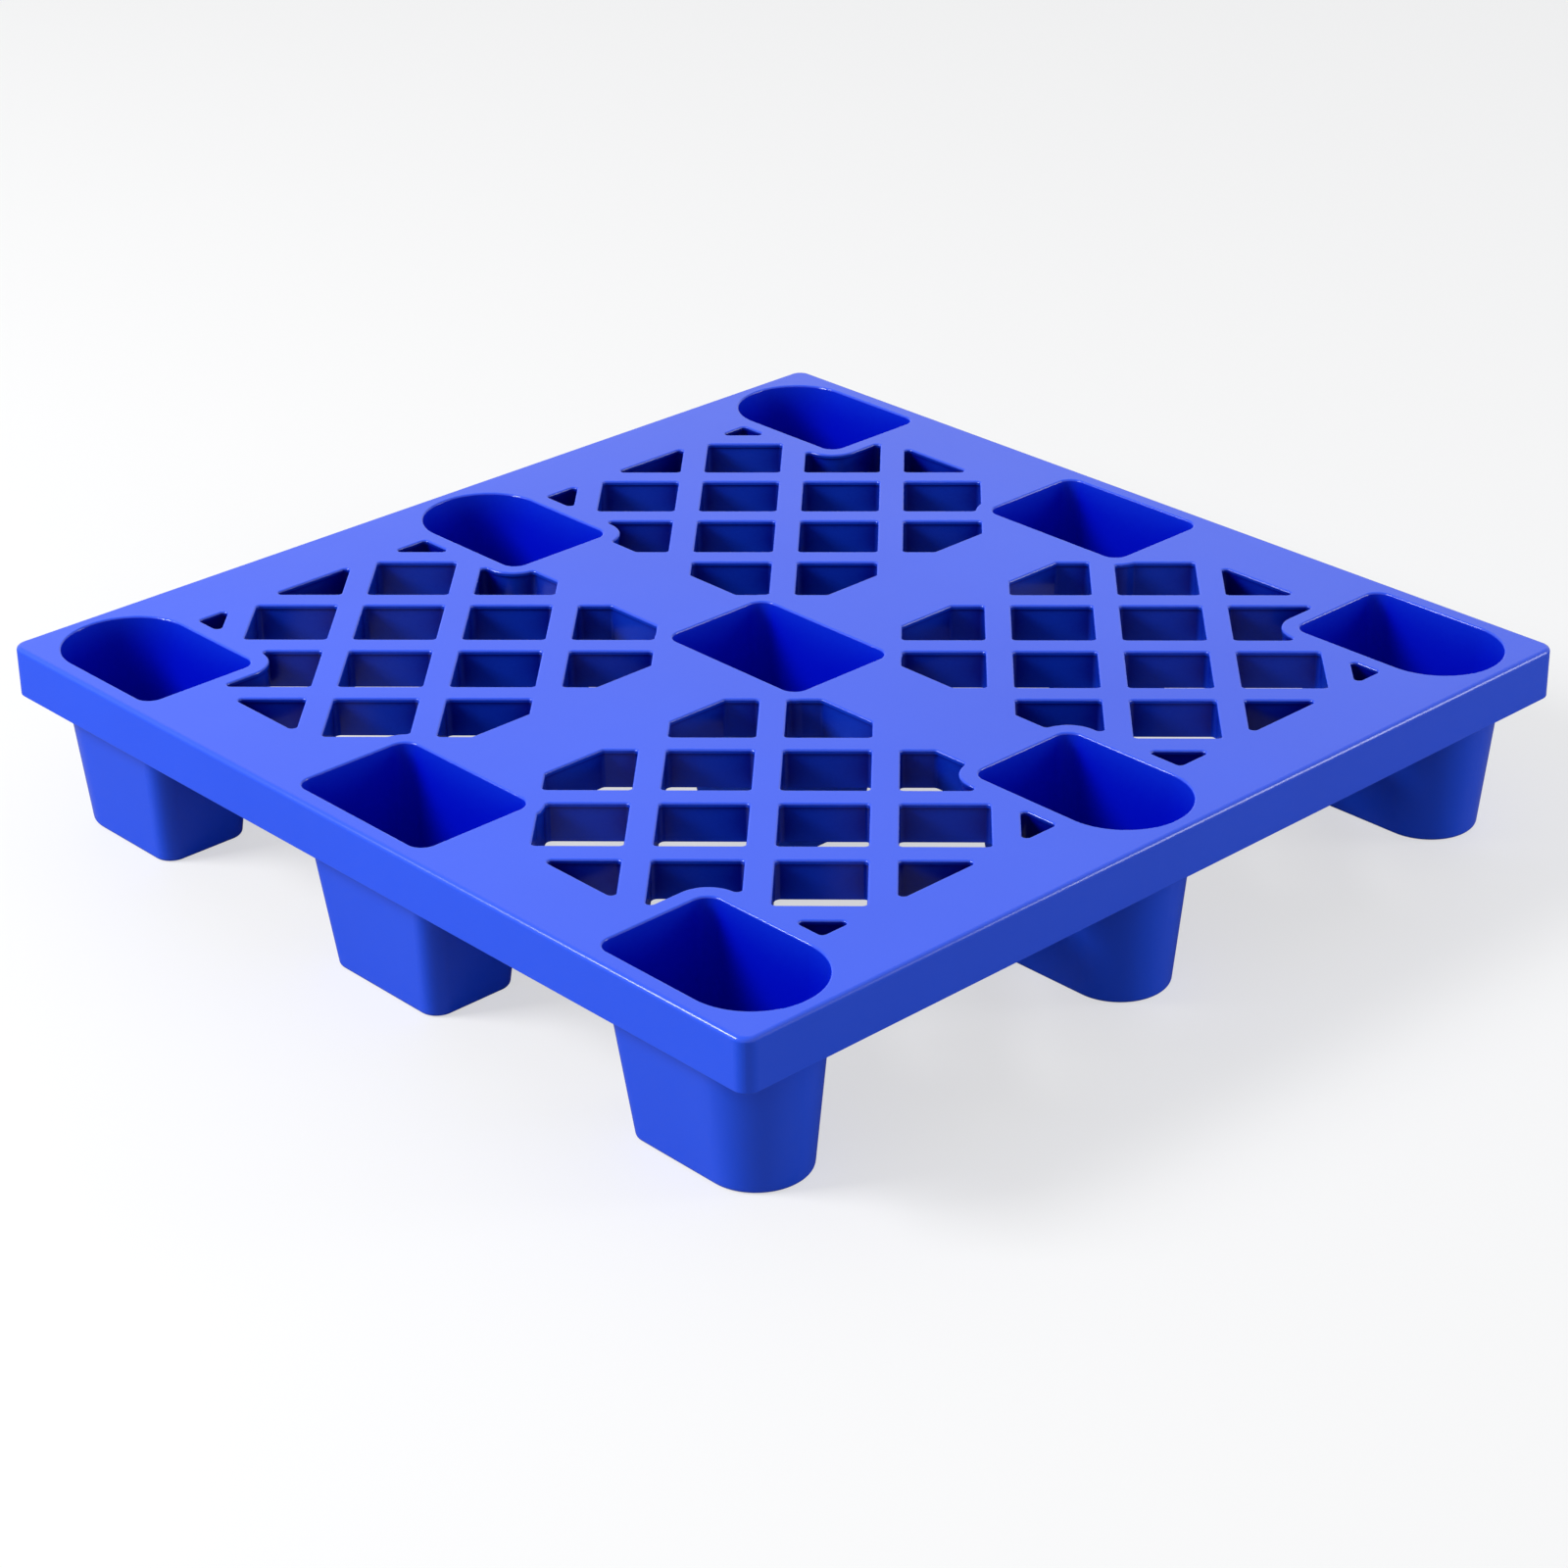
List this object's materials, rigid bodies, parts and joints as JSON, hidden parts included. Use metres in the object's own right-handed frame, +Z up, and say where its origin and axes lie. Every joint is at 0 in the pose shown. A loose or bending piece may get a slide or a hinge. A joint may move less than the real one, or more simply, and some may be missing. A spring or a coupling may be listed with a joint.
{
  "type": "plastic pallet",
  "caption": "Square nestable moulded pallet with a diagonal open grid deck, a plain side skirt and hollow tapered cup feet that open through the deck.",
  "frame": {"origin": "on the floor, under the middle of the deck", "axes": "+Z up through the deck, +X towards the right side where the round-ended cups point, -Y towards the front"},
  "size_m": [0.8, 0.8, 0.14],
  "materials": {
    "blue_plastic": "smooth moulded surface with a soft gloss"
  },
  "bodies": {
    "root": {"foot_front_left": "blue_plastic", "foot_front_middle": "blue_plastic", "foot_front_right": "blue_plastic", "foot_middle_left": "blue_plastic", "foot_centre": "blue_plastic", "foot_middle_right": "blue_plastic", "foot_back_left": "blue_plastic", "foot_back_middle": "blue_plastic", "foot_back_right": "blue_plastic", "centre_band_left": "blue_plastic", "centre_band_right": "blue_plastic", "centre_band_front": "blue_plastic", "centre_band_back": "blue_plastic", "edge_band_front_left": "blue_plastic", "edge_band_front_right": "blue_plastic", "edge_band_back_left": "blue_plastic", "edge_band_back_right": "blue_plastic", "edge_band_left_front": "blue_plastic", "edge_band_left_back": "blue_plastic", "edge_band_right_front": "blue_plastic", "edge_band_right_back": "blue_plastic", "grid_panel_front_left": "blue_plastic", "grid_panel_front_right": "blue_plastic", "grid_panel_back_left": "blue_plastic", "grid_panel_back_right": "blue_plastic", "skirt_front": "blue_plastic", "skirt_right": "blue_plastic", "skirt_back": "blue_plastic", "skirt_left": "blue_plastic"}
  },
  "joints": []
}
